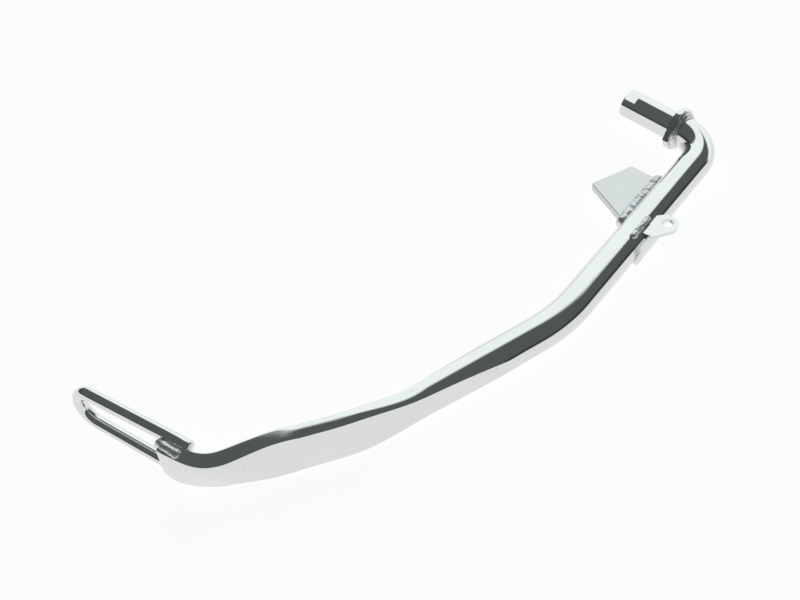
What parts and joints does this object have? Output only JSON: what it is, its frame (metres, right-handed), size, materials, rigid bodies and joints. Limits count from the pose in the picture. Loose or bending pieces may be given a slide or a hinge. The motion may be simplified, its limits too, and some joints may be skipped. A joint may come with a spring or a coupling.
{
  "type": "motorcycle kickstand leg",
  "caption": "Bent chrome side stand leg with a pivot pin, collar, stop plate, spring ear, flattened foot and hairpin foot loop.",
  "frame": {"origin": "pivot axis at the collar's shoulder, the face that bears on the frame's bracket", "axes": "+Y along the pivot pin towards its free end, -X the way the leg runs, +Z square to the plane of the leg, up when it lies on a table"},
  "size_m": [0.3598, 0.1393, 0.0294],
  "materials": {
    "chrome": "bright chrome plate over ground and polished steel",
    "weld_bead": "chrome plate over rippled weld metal, left unpolished"
  },
  "bodies": {
    "root": {"collar_weld": "weld_bead", "foot_loop": "chrome", "foot_loop_weld_back": "weld_bead", "foot_loop_weld_lower": "weld_bead", "foot_loop_weld_upper": "weld_bead", "leg_bar": "chrome", "pivot_collar": "chrome", "pivot_pin": "chrome", "spring_bracket": "chrome", "spring_bracket_weld_lower": "weld_bead", "spring_bracket_weld_upper": "weld_bead", "stop_plate": "chrome", "stop_plate_weld_lower": "weld_bead", "stop_plate_weld_upper": "weld_bead"}
  },
  "joints": []
}
